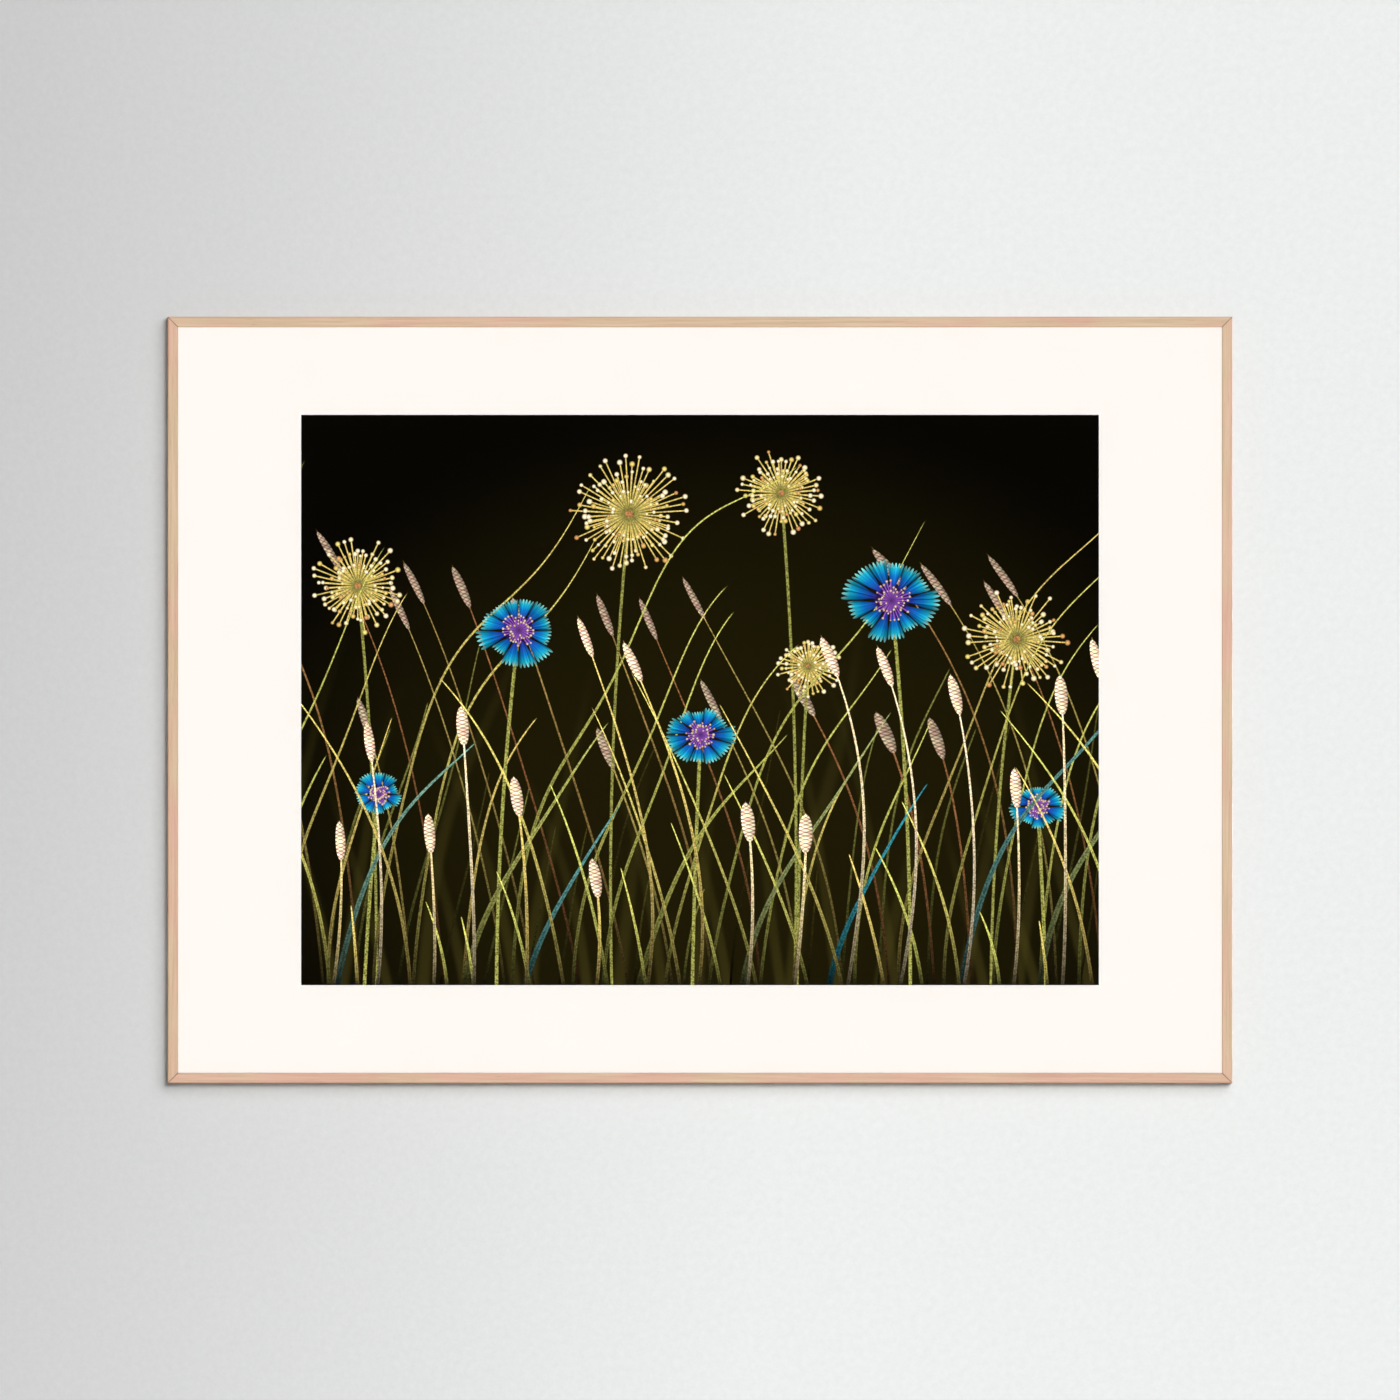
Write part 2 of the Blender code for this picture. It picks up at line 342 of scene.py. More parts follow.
def mix_with_clear(tree, shader, factor):
    """Makes the material fully clear where the factor, a socket, is 1."""
    clear = tree.nodes.new("ShaderNodeBsdfTransparent")
    mix = tree.nodes.new("ShaderNodeMixShader")
    tree.links.new(factor, mix.inputs["Fac"])
    tree.links.new(shader.outputs[0], mix.inputs[1])
    tree.links.new(clear.outputs[0], mix.inputs[2])
    tree.links.new(mix.outputs[0], tree.nodes["Material Output"].inputs["Surface"])


def dress(name, material):
    """Gives a solid its material, and leaves its shape alone."""
    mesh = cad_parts[name].data
    mesh.materials.clear()
    mesh.materials.append(material)


def add_mesh(bm, name, materials):
    """Turns a bmesh into an object at the origin."""
    mesh = bpy.data.meshes.new(name)
    bm.to_mesh(mesh)
    bm.free()
    for material in materials:
        mesh.materials.append(material)
    return add_object(name, mesh)


def finish_piece(bm, name, materials):
    """Makes a new piece, with its faces pointing out."""
    bmesh.ops.recalc_face_normals(bm, faces=bm.faces)
    return add_mesh(bm, name, materials)


print("materials and pieces can be made")

# %% [markdown]
# ## Pale wood
# The rails are sawn from straight-grained pale wood and oiled matt. Along each rail run growth lines a few
# millimetres apart and fibres far finer than that, and the tone drifts from yellow to pink. A Wave texture
# would draw lines too, but it repeats, and noise that is stretched along the rail doesn't. For the upright
# rails the place is turned, so that the grain runs along them too.

# %% Wood grain
DRIFT = {"scale": 14.0, "detail": 2.0, "stretch": (1.0, 6.0, 6.0)}
GROWTH_LINES = {"scale": 620.0, "detail": 3.0, "roughness": 0.55, "stretch": (0.028, 1.0, 1.0)}
FIBRES = {"scale": 2600.0, "detail": 2.0, "roughness": 0.6, "stretch": (0.012, 1.0, 1.0)}
PORES = {"scale": 1500.0, "detail": 1.0, "stretch": (0.05, 1.0, 1.0)}
SAND = ((0.30, (0.535, 0.360, 0.205)), (0.50, (0.638, 0.446, 0.272)), (0.70, (0.715, 0.525, 0.340)))
PINK = ((0.30, (0.575, 0.310, 0.208)), (0.50, (0.682, 0.392, 0.272)), (0.70, (0.748, 0.465, 0.338)))
PORE_BROWN = (0.40, 0.235, 0.14)


def build_grain(given):
    place = given["Place"]
    drift = noise(place, **DRIFT) + given["Pinkness"]
    lines = noise(place, **GROWTH_LINES)
    fibres = noise(place, **FIBRES)
    pores = noise(place, **PORES).step(0.66, 0.76)
    tone = lines * 0.65 + fibres * 0.35
    colour = blend(ramp(tone, *SAND), ramp(tone, *PINK), drift.step(0.40, 0.68))
    colour = shade(blend(colour, PORE_BROWN, pores * 0.45), given["Paleness"])
    return {"Colour": colour, "Roughness": fibres * 0.16 + 0.44, "Height": tone - pores * 0.5}


wood_grain = make_group(
    "Wood grain",
    {"Place": "vector", "Pinkness": "number", "Paleness": "number"},
    {"Colour": "colour", "Roughness": "number", "Height": "number"},
    build_grain,
)

# %% [markdown]
# Where two rails meet, the sawn ends have drunk more oil, so a thin dark line runs along the mitre. It has
# no depth, so it is a mask in the material and not a groove. Each rail is sawn from its own board: its grain
# comes from another place in the noise, and it is a little pinker or paler than the others.

# %% Rails
MITRE_LINE = 0.00030
MITRE_BROWN = (0.20, 0.105, 0.055)
BOARD_SHIFT = (0.37, 0.21, 0.11)
# How pink each board is, and how pale
BOARDS = {
    "rail_top": (-0.03, 1.01),
    "rail_bottom": (0.10, 1.02),
    "rail_left": (-0.02, 1.0),
    "rail_right": (0.07, 1.03),
}


def mitre_line(tree):
    """1 at the mitres, which are as far from the picture's side as from its top or bottom."""
    x, _, z = object_place(tree).parts()
    from_side = abs(x - MIDDLE.x) - (frame_high.x - MIDDLE.x)
    from_end = abs(z - MIDDLE.z) - (frame_high.z - MIDDLE.z)
    off_mitre = abs(from_side - from_end) * math.sqrt(0.5)
    fainter_outside = from_side.step(0.0, -0.005) * 0.5 + 0.5
    return off_mitre.step(MITRE_LINE * 1.5, MITRE_LINE * 0.6) * fainter_outside


def pale_wood(name, upright, board, offset):
    turn = (0, math.radians(90), 0) if upright else (0, 0, 0)
    material, tree, shader = new_material(name, roughness=0.5)
    place = object_place(tree, offset, turn)
    pinkness, paleness = board
    grain = use_group(tree, wood_grain, {"Place": place, "Pinkness": pinkness, "Paleness": paleness})
    colour = blend(grain["Colour"], MITRE_BROWN, mitre_line(tree) * 0.75)
    connect(colour, shader.inputs["Base Color"])
    connect(grain["Roughness"], shader.inputs["Roughness"])
    add_bump(tree, shader, grain["Height"], strength=0.35, distance=0.0003)
    return material


for number, rail in enumerate(RAILS):
    upright = rail in ("rail_left", "rail_right")
    offset = [number * shift for shift in BOARD_SHIFT]
    dress(rail, pale_wood(f"wood_{rail}", upright, BOARDS[rail], offset))
print("four rails in pale wood")

# %% [markdown]
# The rails are glued at the mitres. The dried glue fills the joint as a thin brown leaf, an L like the
# rail's section: one arm behind the face, the other down the outer wall. A plane would be a leaf with no
# thickness, so each arm is a thin block, turned to its mitre.

# %% Glue in the mitres
GLUE_THICKNESS = 0.00028
GLUE_DROP = 0.0003
GLUE_END = 0.0001
LIP_DEPTH = 0.0034
RAIL_WALL = 0.0028
GLUE_BROWNS = ((0.3, (0.19, 0.10, 0.05)), (0.7, (0.30, 0.17, 0.09)))


def add_block(bm, low, high, place):
    """A block between two corners, which the matrix then puts in its place."""
    size = Vector(high) - Vector(low)
    middle = Matrix.Translation((Vector(high) + Vector(low)) / 2)
    bmesh.ops.create_cube(bm, size=1.0, matrix=place @ middle @ Matrix.Diagonal((*size, 1.0)))


def make_glue(material):
    """Each leaf is built along +X from the inner corner outwards, and turned to its mitre."""
    bm = bmesh.new()
    diagonal = math.sqrt(2.0)
    rail_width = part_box("rail_left")[1].x - frame_low.x
    inner, outer = -rail_width * diagonal, -GLUE_END * diagonal
    front, back = frame_low.y + GLUE_DROP, frame_high.y - GLUE_DROP
    behind_face = frame_low.y + LIP_DEPTH
    half = GLUE_THICKNESS / 2
    for side_x in (-1, 1):
        for side_z in (-1, 1):
            corner_x = MIDDLE.x + side_x * (frame_high.x - MIDDLE.x)
            corner_z = MIDDLE.z + side_z * (frame_high.z - MIDDLE.z)
            turn = Matrix.Rotation(-math.atan2(side_z, side_x), 4, "Y")
            place = Matrix.Translation((corner_x, 0.0, corner_z)) @ turn
            add_block(bm, (inner + GLUE_END, front, -half), (outer, behind_face, half), place)
            add_block(bm, (-RAIL_WALL * diagonal, behind_face, -half), (outer, back, half), place)
    return finish_piece(bm, "mitre_glue", [material])


def dried_glue():
    material, tree, shader = new_material("dried_glue", roughness=0.55)
    tone = noise(object_place(tree), scale=900.0)
    connect(ramp(tone, *GLUE_BROWNS), shader.inputs["Base Color"])
    return material


glue = make_glue(dried_glue())
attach(glue, "root")
print("glue in four mitres:", len(glue.data.polygons), "faces")

# %% [markdown]
# ## Pane
# The pane is clear and low in reflection. A transparent shader alone would show the print too, but would
# mirror nothing. So it is real glass to the camera, and a Light Path node makes it transparent to shadow
# rays, so that what lies behind it is lit without noise. The last wipe left it less smooth in places.

# %% Clear pane
SMEARS = {"scale": 18.0, "detail": 3.0, "stretch": (1.0, 1.0, 2.5)}


def clear_pane():
    material, tree, shader = new_material("clear_pane", roughness=0.0)
    shader.inputs["Base Color"].default_value = (1.0, 1.0, 1.0, 1.0)
    shader.inputs["IOR"].default_value = 1.45
    shader.inputs["Transmission Weight"].default_value = 1.0
    smears = noise(object_place(tree), **SMEARS).step(0.55, 0.85)
    connect(smears * 0.015, shader.inputs["Roughness"])
    light_path = tree.nodes.new("ShaderNodeLightPath")
    mix_with_clear(tree, shader, light_path.outputs["Is Shadow Ray"])
    return material


dress("glazing", clear_pane())
print("pane is clear")

# %% [markdown]
# ## Mat
# The mat is one board with a paper face and a white core, which shows where the window is cut at 45
# degrees. The solid has that shape, but only one finish, so a new mesh takes its place. It is a ring of four
# loops: the window's front edge, the outer front and back edges, and the window's back edge. Each loop is
# extruded and moved to make the next, and a bridge closes the ring.

# %% Make the mat
mat_low, mat_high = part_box("mat_board")
BEVEL = mat_high.y - mat_low.y


def scaled_loop(bm, loop, half_width, half_height, depth):
    """Extrudes a rectangle of edges, and moves the new one to this size and depth."""
    made = bmesh.ops.extrude_edge_only(bm, edges=loop)["geom"]
    points = [item for item in made if isinstance(item, bmesh.types.BMVert)]
    for point in points:
        point.co.x = MIDDLE.x + math.copysign(half_width, point.co.x - MIDDLE.x)
        point.co.z = MIDDLE.z + math.copysign(half_height, point.co.z - MIDDLE.z)
        point.co.y = depth
    edges = [item for item in made if isinstance(item, bmesh.types.BMEdge)]
    return [edge for edge in edges if all(end in points for end in edge.verts)]


def make_mat(materials):
    front, back = mat_low.y, mat_high.y
    outer = ((mat_high.x - mat_low.x) / 2, (mat_high.z - mat_low.z) / 2)
    bm = bmesh.new()
    place = Matrix.Translation((MIDDLE.x, front, MIDDLE.z)) @ Matrix.Rotation(math.radians(90), 4, "X")
    size = Matrix.Diagonal((WINDOW_HALF_WIDTH + BEVEL, WINDOW_HALF_HEIGHT + BEVEL, 1.0, 1.0))
    bmesh.ops.create_grid(bm, x_segments=1, y_segments=1, size=1.0, matrix=place @ size)
    bmesh.ops.delete(bm, geom=bm.faces[:], context="FACES_ONLY")
    window_front = bm.edges[:]
    outer_front = scaled_loop(bm, window_front, *outer, front)
    outer_back = scaled_loop(bm, outer_front, *outer, back)
    window_back = scaled_loop(bm, outer_back, WINDOW_HALF_WIDTH, WINDOW_HALF_HEIGHT, back)
    bmesh.ops.bridge_loops(bm, edges=window_front + window_back)
    bmesh.ops.recalc_face_normals(bm, faces=bm.faces)
    for face in bm.faces:
        face.material_index = 0 if abs(face.normal.y) > 0.9 else 1
    return finish_piece(bm, "mat", materials)


print("bevel as wide as the board is thick:", round(BEVEL * MM, 2), "mm")

# %% [markdown]
# The face is fine cotton paper: warm white, with fibres that only a raking light shows. The core is whiter,
# and light that soaks into the paper comes out at the cut, so the bevel is as bright as the face.
# Subsurface scattering costs much for an edge 1 mm wide, so a faint glow of the core stands for it.

# %% Mat paper
CORE_GLOW = 0.16
CORE_TINT = (1.0, 0.97, 0.93, 1.0)


def build_fibres(given):
    place = given["Place"]
    clouds = noise(place, scale=30.0)
    fibres = noise(place, scale=1400.0, detail=3.0, roughness=0.6)
    specks = noise(place, scale=700.0, detail=1.0).step(0.70, 0.78)
    return {"Tone": clouds * 0.5 + fibres * 0.5, "Specks": specks, "Height": fibres}


paper_fibres = make_group(
    "Paper fibres",
    {"Place": "vector"},
    {"Tone": "number", "Specks": "number", "Height": "number"},
    build_fibres,
)


def mat_paper(name, low_tone, high_tone):
    material, tree, shader = new_material(name, roughness=0.92)
    fibres = use_group(tree, paper_fibres, {"Place": object_place(tree)})
    colour = ramp(fibres["Tone"], (0.30, low_tone), (0.70, high_tone))
    connect(blend(colour, low_tone, fibres["Specks"] * 0.5), shader.inputs["Base Color"])
    shader.inputs["Specular IOR Level"].default_value = 0.25
    add_bump(tree, shader, fibres["Height"], strength=0.25, distance=0.00008)
    return material


mat_face = mat_paper("mat_face", low_tone=(0.795, 0.753, 0.712), high_tone=(0.812, 0.770, 0.728))
mat_core = mat_paper("mat_core", low_tone=(0.93, 0.92, 0.90), high_tone=(0.98, 0.97, 0.95))
core_shader = mat_core.node_tree.nodes["Principled BSDF"]
core_shader.inputs["Emission Color"].default_value = CORE_TINT
core_shader.inputs["Emission Strength"].default_value = CORE_GLOW
mat = make_mat([mat_face, mat_core])
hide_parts("mat_board")
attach(mat, "root")
print("mat:", len(mat.data.polygons), "faces")

# %% [markdown]
# ## Printed sheet
# The print shows a meadow at night: fine stems in gold and green on a warm near-black ground, seed heads in
# cream and copper, and a few blue flowers. It is only colour, so nothing is raised, and the shader draws it
# from rules: no picture is loaded. X and Z are millimetres to the right and up from the window's lower left
# corner. They go through the groups as plain numbers, never packed in a vector: Cycles puts off what
# follows a change of type, and would then have to keep too many numbers at once.
#
# The first motif is a row of stems. Each could be a curve of its own, but a hundred curves are a hundred
# sums. Here the ground is cut into strips, and one sum draws a whole row, with dice for each strip's stem.

# %% Stems
# A wave leans the stems by this much: per mm to the right, per mm up, per seed, and the lean at its crest
SLOW_SWAY = (0.013, -0.006, 2.3, 0.055)
QUICK_SWAY = (0.031, 0.013, 0.9, 0.035)
ROOT_SPREAD = 0.45
TIP_CURL = 0.35
STEM_TAPER = 0.6
GRAIN_PITCH = 2.5
GRAIN_COLUMNS = 1.5
PLACE_KEYS = ("X", "Z")
STEM_KEYS = (
    "Spacing", "Lean", "Bend", "Shortest", "Tallest", "Width", "Head", "Head length", "Softness", "Seed",
)
STEM_RESULTS = ("Stem", "Head", "Along", "Tone", "Side", "Grain", "Grain tone")


def motif_group(name, keys, results, build):
    """A node group for one motif: the place on the sheet and numbers go in, and numbers come out."""
    inputs = dict.fromkeys(PLACE_KEYS + keys, "number")
    return make_group(name, inputs, dict.fromkeys(results, "number"), build)


def sway(x, z, seed, wave):
    per_right, per_up, per_seed, crest = wave
    return (x * per_right + z * per_up + seed * per_seed).math("SINE") * crest


def build_stems(given):
    """Stems side by side: one in each strip, of its own height, and all sway together."""
    x, z, seed = given["X"], given["Z"], given["Seed"]
    lean = sway(x, z, seed, SLOW_SWAY) + sway(x, z, seed, QUICK_SWAY)
    root = x - given["Lean"] * z - given["Bend"] * z * z * 0.001 - lean * z
    strip = (root / given["Spacing"]).math("FLOOR")
    shift, tallness, tone = dice(strip, seed)
    height = given["Shortest"] + (given["Tallest"] - given["Shortest"]) * tallness
    along = z / height
    curl = (tone - 0.5) * along * along * TIP_CURL
    across = root - (strip + 0.5 + (shift - 0.5) * ROOT_SPREAD + curl) * given["Spacing"]
    half = given["Width"] * (-along + 1.02).math("MAXIMUM", 0.0).math("POWER", STEM_TAPER)
    off_line = abs(across)
    stem = off_line.step(half + given["Softness"], half) * along.step(1.01, 0.99)
    # The head is an ellipse at the tip, and its grains sit round it in two crossing spirals
    in_head = (height - z) / given["Head length"] * 2.0 - 1.0
    head_half = given["Head"] * (-in_head * in_head + 1.0).math("MAXIMUM", 0.0).math("SQRT")
    angle = (across / head_half).math("ARCSINE")
    one_way = z / GRAIN_PITCH + angle * (GRAIN_COLUMNS / math.pi)
    other_way = z / GRAIN_PITCH - angle * (GRAIN_COLUMNS / math.pi)
    bead = abs((one_way * math.pi).math("SINE") * (other_way * math.pi).math("SINE")).math("POWER", 0.6)
    _, grain_light, grain_tone = dice(one_way.math("FLOOR"), other_way.math("FLOOR"))
    lit_side = (angle + 0.5).math("COSINE") * 0.6 + 0.4
    edge = head_half * (bead * 0.22 + 0.84)
    head = off_line.step(edge + given["Softness"], edge) * head_half.step(0.0, 0.3)
    return {
        "Stem": stem,
        "Head": head,
        "Along": along,
        "Tone": tone,
        "Side": across / half,
        "Grain": (bead * 1.1 + 0.06) * lit_side * (grain_light * 0.5 + 0.75),
        "Grain tone": grain_tone,
    }


stems_group = motif_group("Stems", STEM_KEYS, STEM_RESULTS, build_stems)

# %% [markdown]
# A flower is drawn in the round: the direction from its middle says which petal a point is on, and the
# distance says how far out. It is a little wider than tall, as if seen at a slant.

# %% Flowers
SLANT = 1.35
TEETH = 5.0
FLOWER_KEYS = ("Middle X", "Middle Z", "Radius", "Petals", "Lean", "Seed")
FLOWER_RESULTS = ("Petals", "Tuft", "Reach", "Light", "Stalk")


def turns_round(right, up):
    """The direction from a motif's middle, from 0 to 1 in one turn."""
    return up.math("ARCTAN2", right) * (0.5 / math.pi) + 0.5


def stalk_under(right, up, lean, half, soft_half):
    """A stalk from the motif's middle down to the ground, bent by its lean."""
    drop = up * lean + up * up * lean * 0.002
    return abs(right - drop).step(soft_half, half) * up.step(0.0, -1.0)


def build_flower(given):
    """Petals that widen outwards and end in teeth, round a tuft, on a bent stalk."""
    right = given["X"] - given["Middle X"]
    up = given["Z"] - given["Middle Z"]
    away = (right * right + up * up * SLANT).math("SQRT")
    turned = turns_round(right, up) * given["Petals"] + given["Seed"]
    petal = turned.math("FLOOR")
    length, tone, _ = dice(petal, given["Seed"])
    beside = abs(turned - petal - 0.5)
    reach = away / (given["Radius"] * (length * 0.30 + 0.70))
    teeth = (beside * TEETH * math.pi).math("COSINE").math("ABSOLUTE") * 0.15 + 0.85
    half = reach.step(0.05, 0.75) * 0.34 + 0.12
    petals = beside.step(half + 0.02, half) * reach.step(teeth + 0.02, teeth)
    tuft = away.step(given["Radius"] * 0.36, given["Radius"] * 0.28)
    streak = line_noise(turned * 8.0 + given["Seed"] * 31.0)
    fold = -beside * beside * 3.2 + 1.0
    return {
        "Petals": petals.math("MAXIMUM", tuft),
        "Tuft": tuft,
        "Reach": reach,
        "Light": (streak * 1.9 + tone * 0.35 - 0.15) * fold,
        "Stalk": stalk_under(right, up, given["Lean"], half=0.85, soft_half=1.35),
    }


flower_group = motif_group("Blue flower", FLOWER_KEYS, FLOWER_RESULTS, build_flower)

# %% [markdown]
# A seed head is drawn in the round too, but its rays stay as thin as hairs all the way out. One group draws
# a ring of rays with beads, and serves for the small filaments in the flowers as well.

# %% Seed heads
UMBEL_KEYS = ("Middle X", "Middle Z", "Radius", "Rays", "Lean", "Seed", "Bead")
UMBEL_RESULTS = ("Rays", "Beads", "Shine", "Tone", "Stalk", "Reach")


def build_umbel(given):
    """A ring of rays of uneven length from one point, each with a bead at its end."""
    right = given["X"] - given["Middle X"]
    up = given["Z"] - given["Middle Z"]
    away = (right * right + up * up).math("SQRT")
    turned = turns_round(right, up) * given["Rays"]
    ray = turned.math("FLOOR")
    length, tone, size = dice(ray, given["Seed"])
    spacing = away * (2.0 * math.pi) / given["Rays"]
    beside = abs(turned - ray - 0.5) * spacing
    half = (spacing * 0.22).math("MINIMUM", 0.26)
    end = given["Radius"] * (length.math("SQRT") * 0.60 + 0.40)
    rays = beside.step(half * 2.2, half * 0.8) * away.step(end, end - 0.5)
    from_end = away - end
    off_bead = (beside * beside + from_end * from_end).math("SQRT") / (given["Bead"] * (size * 0.5 + 0.75))
    return {
        "Rays": rays,
        "Beads": off_bead.step(1.0, 0.7),
        "Shine": off_bead.step(0.9, 0.0),
        "Tone": tone,
        "Stalk": stalk_under(right, up, given["Lean"], half=0.65, soft_half=1.15),
        "Reach": away / given["Radius"],
    }


umbel_group = motif_group("Seed head", UMBEL_KEYS, UMBEL_RESULTS, build_umbel)

# %% [markdown]
# The design is laid down from the back forwards: the glow of the ground, soft stems out of focus, then seed
# heads, stems, flowers, and the brightest stems last. Fine grains break every line up.
#
# A shader runs in full at every point, so one for the whole meadow would work out each flower everywhere.
# The sheet's front is parted in upright bands instead, and each band's material draws only the motifs that
# reach into it. The bands meet without a seam, because what one leaves out wouldn't show in it.

# %% Ground of the design
BANDS = 6
REACH_MARGIN = 4.0
GLINT = {"scale": 850.0, "detail": 2.0, "roughness": 0.7}
GROUND = (0.0014, 0.0010, 0.0003)
GLOW = (0.0105, 0.0080, 0.0011)
GLOW_MIDDLE = (290.0, 110.0)
GLOW_REACH = (340.0, 270.0)
sheet_low, sheet_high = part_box("print_sheet")
BAND_EDGES = [sheet_low.x + (sheet_high.x - sheet_low.x) * number / BANDS for number in range(BANDS + 1)]


class Design:
    """The printed face of one band: where a point is on the sheet, and the colour laid there so far."""

    def __init__(self, tree, band):
        to_corner = (WINDOW_HALF_WIDTH - MIDDLE.x, 0.0, WINDOW_HALF_HEIGHT - MIDDLE.z)
        metres = object_place(tree, offset=to_corner)
        self.tree = tree
        self.left, self.right = ((edge + to_corner[0]) * MM for edge in BAND_EDGES[band:band + 2])
        self.glint = noise(metres, **GLINT).step(0.30, 0.70)
        x, _, z = metres.parts()
        self.place = {"X": x * MM, "Z": z * MM}
        self.colour = GROUND

    def use(self, group, keys, values):
        """The masks and values of one motif at this point."""
        return use_group(self.tree, group, {**self.place, **dict(zip(keys, values))})

    def lay(self, colour, mask):
        self.colour = blend(self.colour, colour, mask)

    def holds(self, middle, radius):
        """True if a motif with this middle and radius reaches into the band."""
        reach = radius + REACH_MARGIN
        return middle + reach > self.left and middle - reach < self.right


def lay_glow(design):
    """Near black at the edges, with a faint warm glow low in the middle."""
    right = (design.place["X"] - GLOW_MIDDLE[0]) / GLOW_REACH[0]
    up = (design.place["Z"] - GLOW_MIDDLE[1]) / GLOW_REACH[1]
    design.lay(GLOW, (right * right + up * up).step(1.15, 0.0))


print("bands of", round((BAND_EDGES[1] - BAND_EDGES[0]) * MM, 1), "mm")

# %% [markdown]
# The rows of stems differ in spacing, height and colour, as plants at different depths do. Only the rows in
# a seeding grass have heads.

# %% Lay the stems
GOLD = (0.60, 0.46, 0.125)
LIME = (0.49, 0.485, 0.110)
OLIVE = (0.09, 0.075, 0.014)
COPPER = (0.44, 0.19, 0.07)
CREAM = (0.76, 0.62, 0.40)
ROSE = (0.60, 0.36, 0.27)
TEAL = (0.04, 0.32, 0.38)
NO_HEAD = (0, 1)
# Spacing, lean, bend, shortest, tallest, width, head and its length, softness, seed
SOFT_STEMS = (
    (58, 0.10, 0.6, 120, 260, 1.6, *NO_HEAD, 5, 1),
    (43, -0.16, -0.6, 90, 230, 1.2, *NO_HEAD, 4, 2),
)
# Each row then has its two colours and its strength
BACK_STEMS = (
    ((27, 0.10, 0.6, 60, 230, 0.6, *NO_HEAD, 0.5, 11), OLIVE, LIME, 0.5),
    ((29, -0.08, -0.9, 150, 335, 0.6, 3.2, 27, 0.4, 12), GOLD, COPPER, 0.9),
)
MIDDLE_STEMS = (
    ((32, 0.04, 1.3, 130, 350, 0.9, *NO_HEAD, 0.35, 13), LIME, GOLD, 1.6),
)
FRONT_STEMS = (
    ((66, 0.20, 2.0, 90, 250, 1.9, *NO_HEAD, 0.3, 16), LIME, TEAL, 1.2),
    ((27, -0.14, -1.4, 40, 220, 1.0, *NO_HEAD, 0.3, 14), LIME, GOLD, 2.2),
    ((35, 0.12, -1.0, 80, 265, 1.0, 3.9, 26, 0.3, 15), GOLD, CREAM, 2.3),
)


def lay_soft_stems(design):
    for values in SOFT_STEMS:
        stems = design.use(stems_group, STEM_KEYS, values)
        design.lay(OLIVE, stems["Stem"] * (-stems["Along"] + 1.0) * 0.24)


def lay_stems(design, rows):
    for values, light, dark, strength in rows:
        stems = design.use(stems_group, STEM_KEYS, values)
        hue = blend(light, dark, stems["Tone"].step(0.35, 0.95))
        lane = abs(stems["Side"]).step(-0.1, 0.5) * 0.45 + 0.55
        lit = lane * (design.glint + 0.35) * (stems["Along"] * 1.05 + 0.02)
        design.lay(shade(hue, lit * strength), stems["Stem"])
        if dict(zip(STEM_KEYS, values))["Head"] > 0:
            seeds = shade(blend(CREAM, ROSE, stems["Grain tone"]), stems["Grain"] * strength)
            design.lay(seeds, stems["Head"])


print(len(SOFT_STEMS) + len(BACK_STEMS + MIDDLE_STEMS + FRONT_STEMS), "rows of stems")

# %% [markdown]
# Each flower has a ruff of petals, violet at the heart and turquoise at the teeth, and two rings of
# filaments with pale tips. Each seed head has three rings of beads on rays round a copper button.

# %% Lay the flowers and seed heads
VIOLET = (0.30, 0.09, 0.52)
HEART = (0.020, 0.006, 0.060)
PETAL_BLUES = (
    (0.20, (0.050, 0.022, 0.200)),
    (0.42, (0.014, 0.040, 0.330)),
    (0.66, (0.004, 0.150, 0.480)),
    (0.86, (0.010, 0.380, 0.530)),
    (1.00, (0.240, 0.640, 0.560)),
)
BEAD_TONES = ((0.0, COPPER), (0.25, GOLD), (0.60, CREAM), (1.0, CREAM))
# Middle X and Z, radius, petals, lean, seed
FLOWERS = (
    (146, 238, 30, 12, 0.12, 3),
    (396, 258, 34, 13, -0.10, 5),
    (268, 168, 25, 11, 0.05, 7),
    (494, 120, 21, 10, -0.06, 9),
    (52, 128, 18, 10, 0.10, 13),
)
# Middle X and Z, radius, rays, lean, seed, bead
UMBELS = (
    (220, 316, 40, 52, 0.10, 21, 1.75),
    (322, 330, 30, 42, -0.08, 22, 1.65),
    (480, 232, 36, 46, 0.14, 23, 1.7),
    (38, 268, 32, 42, -0.10, 24, 1.65),
    (340, 214, 22, 34, 0.06, 25, 1.5),
)
STAMEN_TIP = 0.9
# Each ring's share of the flower's radius, and its filaments
STAMEN_RINGS = ((0.40, 31), (0.24, 19))
# Each ring's share of the seed head's radius, of its rays and of its beads' size
UMBEL_RINGS = ((1.0, 1.0, 1.0), (0.74, 0.85, 0.9), (0.47, 0.6, 0.8))


def lay_stamens(design, x, z, radius, lean, seed):
    for share, count in STAMEN_RINGS:
        values = (x, z, radius * share, count, lean, seed + count, STAMEN_TIP)
        ring = design.use(umbel_group, UMBEL_KEYS, values)
        design.lay(shade(VIOLET, ring["Reach"] * 0.9 + 0.25), ring["Rays"])
        tips = shade(blend(ROSE, CREAM, ring["Tone"]), ring["Shine"] * 0.9 + 0.4)
        design.lay(tips, ring["Beads"])


def lay_flower(design, values):
    x, z, radius, _, lean, seed = values
    flower = design.use(flower_group, FLOWER_KEYS, values)
    design.lay(shade(LIME, design.glint * 0.9 + 0.15), flower["Stalk"])
    hue = ramp(flower["Reach"], *PETAL_BLUES)
    design.lay(shade(hue, flower["Light"]), flower["Petals"])
    design.lay(HEART, flower["Tuft"])
    lay_stamens(design, x, z, radius, lean, seed)


